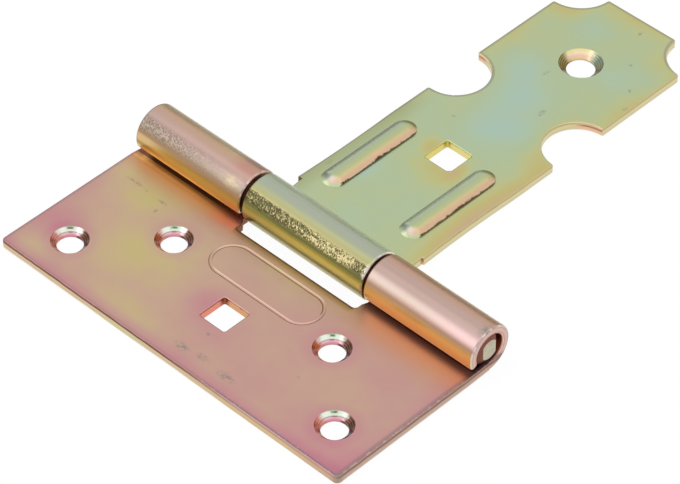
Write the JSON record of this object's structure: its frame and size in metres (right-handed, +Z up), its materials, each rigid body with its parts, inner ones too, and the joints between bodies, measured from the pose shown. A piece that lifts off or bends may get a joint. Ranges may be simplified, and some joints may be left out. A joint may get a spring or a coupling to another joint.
{
  "type": "tee hinge",
  "caption": "Tee hinge of folded zinc-plated sheet: a wide butt leaf and a long ribbed strap leaf turning on a plain pin.",
  "frame": {"origin": "under the middle of the opened hinge's outline, in the plane of the leaves' backs", "axes": "+X along the pin, +Y from the butt leaf to the strap's tip, +Z up from the leaves' backs to the knuckles"},
  "size_m": [0.1, 0.15, 0.0117],
  "materials": {
    "butt_leaf": "yellow zinc passivated sheet with a rose and tan shimmer",
    "strap_leaf": "yellow zinc passivated sheet with a green and olive shimmer",
    "hinge_pin": "yellow zinc passivated bar"
  },
  "bodies": {
    "butt": {"butt_leaf": "butt_leaf", "hinge_pin": "hinge_pin"},
    "strap": {"strap_leaf": "strap_leaf"}
  },
  "joints": [
    {"name": "strap_swing", "type": "hinge", "parent": "butt", "child": "strap", "pos_m": [0, -0.03, 0.00585], "axis": [1, 0, 0], "range_deg": [-75, 185]}
  ]
}
